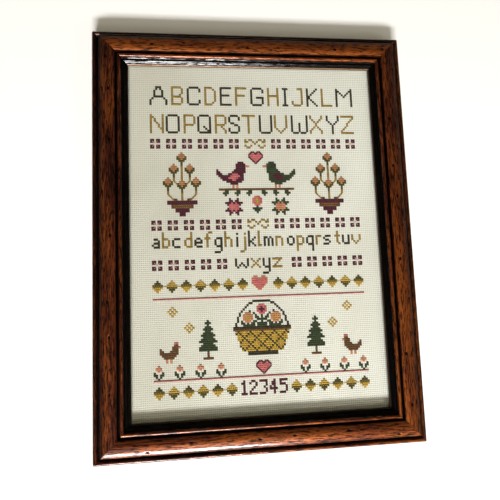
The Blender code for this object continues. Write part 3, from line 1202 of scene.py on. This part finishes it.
def square_middle(column, row):
    return DESIGN_LEFT + (column + 0.5) * BLOCK, DESIGN_TOP - (row + 0.5) * BLOCK


def lay_crosses(mark):
    rows, columns = np.nonzero(paper == mark)
    places = np.array([square_middle(column, row) for column, row in zip(columns, rows)]).reshape(-1, 2)
    turns = chance.uniform(-UNEVEN_TURN, UNEVEN_TURN, len(places))
    return lay(CROSS, places, turns, np.ones(len(places)))


def lay_back_stitches(mark, full):
    own = [(start, end) for thread, two, start, end in back_stitches if (thread, two) == (mark, full)]
    ends = np.array(own, dtype=float).reshape(-1, 2, 2)
    middles = ends.mean(axis=1)
    places = np.stack([DESIGN_LEFT + middles[:, 0] * BLOCK, DESIGN_TOP - middles[:, 1] * BLOCK], axis=-1)
    runs = ends[:, 1] - ends[:, 0]
    turns = np.arctan2(-runs[:, 1], runs[:, 0]) + chance.uniform(-UNEVEN_TURN, UNEVEN_TURN, len(own)) / 2
    return lay(FULL_STITCH if full else FINE_STITCH, places, turns, np.hypot(runs[:, 0], runs[:, 1]))


def sew(name, mark):
    batches = [lay_crosses(mark), lay_back_stitches(mark, True), lay_back_stitches(mark, False)]
    all_points, all_faces, all_corners, all_dyes = zip(*batches)
    faces, shift = [], 0
    for points, own_faces in zip(all_points, all_faces):
        faces += [tuple(corner + shift for corner in face) for face in own_faces]
        shift += len(points)
    mesh = bpy.data.meshes.new(name)
    mesh.from_pydata(np.concatenate(all_points).tolist(), [], faces)
    twist = mesh.uv_layers.new(name="twist")
    twist.data.foreach_set("uv", np.concatenate(all_corners).ravel())
    dye = mesh.attributes.new("dye", "FLOAT", "POINT")
    dye.data.foreach_set("value", np.concatenate(all_dyes))
    mesh.shade_smooth()
    thread = show(mesh)
    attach(thread, "root")
    return thread


# %% [markdown]
# ## Floss
#
# Stranded cotton is mercerised, so it has a soft shine. It is also twisted, so fine slanting grooves run
# across each strand. The finish bumps them, paints a shade into the grooves and paints a highlight on the
# ridges between them. The sphere's UV map runs round the strand and along it: the sum of the two gives the
# slant. The dye's own number makes some stitches a touch lighter than the ones beside them.

# %% Finish and sew each thread
THREADS = {
    "b": ("dark_brown_floss", (0.036, 0.026, 0.011)),
    "o": ("olive_gold_floss", (0.300, 0.190, 0.035)),
    "g": ("gold_floss", (0.500, 0.315, 0.048)),
    "k": ("dark_olive_floss", (0.078, 0.062, 0.010)),
    "p": ("plum_floss", (0.080, 0.010, 0.024)),
    "r": ("rose_floss", (0.550, 0.150, 0.150)),
    "t": ("terracotta_floss", (0.570, 0.240, 0.135)),
    "n": ("tan_floss", (0.440, 0.200, 0.085)),
    "d": ("dark_green_floss", (0.036, 0.052, 0.019)),
    "m": ("brown_floss", (0.130, 0.058, 0.018)),
    "l": ("pale_pink_floss", (0.800, 0.500, 0.420)),
}
PLIES, TWISTS = 3, 9
PALEST_DYE_AND_RIDGE_LIGHT, DARKEST_DYE_AND_GROOVE_SHADE = 1.35, 0.62
TWIST_RELIEF = 0.04 * MM


def floss_finish(name, dye_colour):
    material, surface = new_finish(name, 0.6, Specular_IOR_Level=0.25)[:2]
    start = Wire(material.node_tree)
    own_number = start.node("ShaderNodeAttribute", {"attribute_name": "dye"}, output=2)
    round_strand, along_strand = start.node("ShaderNodeUVMap", {"uv_map": "twist"}).parts()[:2]
    twist = (round_strand * PLIES + along_strand * TWISTS).maths("FRACT")
    ridge = 1 - abs(twist - 0.5) * 2
    lighter = tuple(min(1.0, part * PALEST_DYE_AND_RIDGE_LIGHT + 0.010) for part in dye_colour)
    darker = tuple(part * DARKEST_DYE_AND_GROOVE_SHADE for part in dye_colour)
    # The dye's own variation, with painted shade in the twist's grooves and a painted highlight on its ridges
    mix = own_number * 0.45 + ridge * 0.55
    feed(
        surface,
        Base_Color=mix.blend(darker, lighter),
        Roughness=own_number * 0.12 + 0.5,
        Normal=bumped(ridge, TWIST_RELIEF),
    )
    return material


for mark, (name, dye_colour) in THREADS.items():
    thread = sew(name, mark)
    thread.data.materials.append(floss_finish(name, dye_colour))
    print(name, len(thread.data.vertices), "points")

# %% [markdown]
# ## Glass and board
#
# The pane and the board behind the cloth are plain sheets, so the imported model's own pieces stay, and
# only their finish is made here. Glass that lies close over a picture shows little but a gleam where a
# lamp is mirrored: most light goes straight through, and the share that is mirrored grows where the
# pane is seen aslant. Fresnel's law gives that share. Blender's Fresnel node would take the pane's
# under side for the inside of a solid and black it out, so the sum is made from the facing angle, and it
# mixes a clear surface with a mirror.

# %% Finish for the glass and the board
BOARD_BROWN = (0.190, 0.115, 0.058)
BOARD_DARK = (0.105, 0.060, 0.030)
BOARD_RELIEF = 0.08 * MM
GLASS_TINT = (0.975, 0.985, 0.978, 1.0)
MIRRORED_STRAIGHT_ON = 0.04


def glass_finish():
    material = bpy.data.materials.new("picture_glass")
    material.use_nodes = True
    tree = material.node_tree
    tree.nodes.remove(tree.nodes["Principled BSDF"])
    start = Wire(tree)
    clear = start.node("ShaderNodeBsdfTransparent", inputs={"Color": GLASS_TINT})
    mirror = start.node("ShaderNodeBsdfGlossy", inputs={"Roughness": 0.03})
    facing = start.node("ShaderNodeLayerWeight", inputs={"Blend": 0.5}, output=1)
    share = facing.maths("POWER", 5.0) * (1 - MIRRORED_STRAIGHT_ON) + MIRRORED_STRAIGHT_ON
    mixed = start.node("ShaderNodeMixShader", inputs={0: share, 1: clear, 2: mirror})
    tree.links.new(mixed.socket, tree.nodes["Material Output"].inputs["Surface"])
    return material


def board_finish():
    material, surface, place = new_finish("fibre_board_brown", 0.75)
    speckle = place.stretched(900, 900, 900).clouds(1.0, 4.0, 0.65)
    strands = place.stretched(160, 420, 300).clouds(1.0, 3.0, 0.6)
    mottle = (speckle * 0.6 + strands * 0.5).step(0.35, 0.75)
    feed(
        surface,
        Base_Color=mottle.blend(BOARD_DARK, BOARD_BROWN),
        Roughness=speckle * 0.2 + 0.62,
        Normal=bumped(speckle, BOARD_RELIEF),
    )
    return material


for node, finish in (("glass", glass_finish()), ("backing_board", board_finish())):
    piece = bpy.data.objects[node]
    piece.data.materials.clear()
    piece.data.materials.append(finish)
    print(node, "is now", finish.name)
